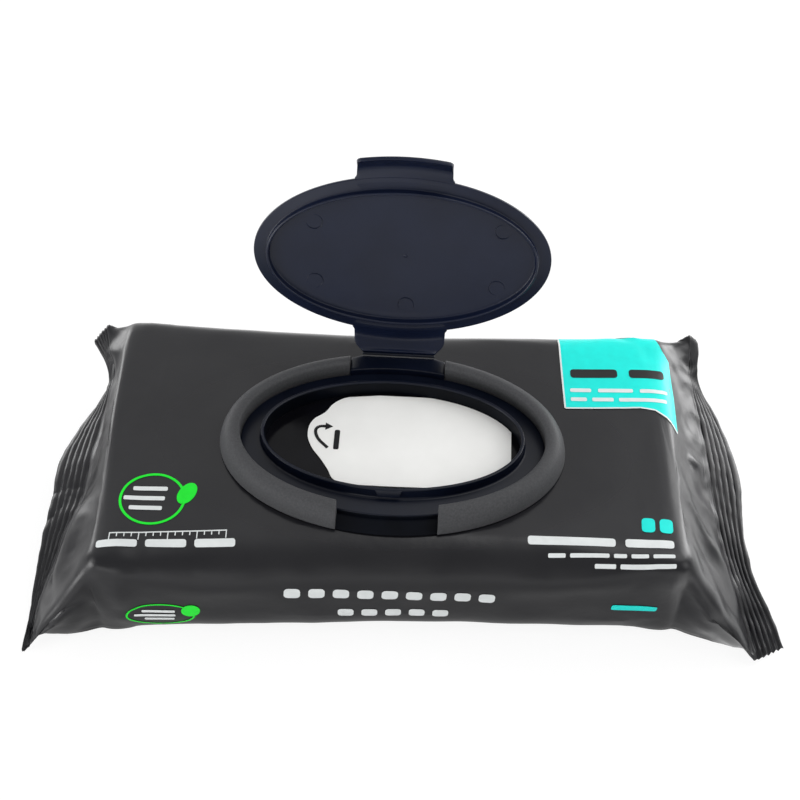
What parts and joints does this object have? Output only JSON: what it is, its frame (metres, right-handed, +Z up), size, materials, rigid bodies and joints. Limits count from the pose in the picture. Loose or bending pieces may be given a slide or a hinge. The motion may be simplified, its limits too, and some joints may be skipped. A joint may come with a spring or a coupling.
{
  "type": "wet wipes pack",
  "caption": "Soft film pack of folded wet wipes with crimped ends, an oval moulded dispensing frame, its hinged flip lid and a peel-back label.",
  "frame": {"origin": "on the pack's flat underside, below the middle of the oval dispensing opening", "axes": "+X along the pack, parallel to the lid's hinge; -Y towards the front, where the lid's tab closes; +Z up"},
  "size_m": [0.2351, 0.1153, 0.1103],
  "materials": {
    "printed_film": "matte charcoal laminate film, soft sheen at its folds",
    "frame_plastic": "fine-grained matte moulded plastic, dark grey",
    "lid_plastic": "smooth blue-black moulded plastic",
    "label_film": "white label film"
  },
  "bodies": {
    "pack": {"film_pack": "printed_film", "lid_base": "frame_plastic", "peel_label": "label_film"},
    "lid": {"flip_lid": "lid_plastic"}
  },
  "joints": [
    {"name": "lid_hinge", "type": "hinge", "parent": "pack", "child": "lid", "pos_m": [0, 0.0351, 0.0412], "axis": [-1, 0, 0], "range_deg": [-104.5, 55]}
  ]
}
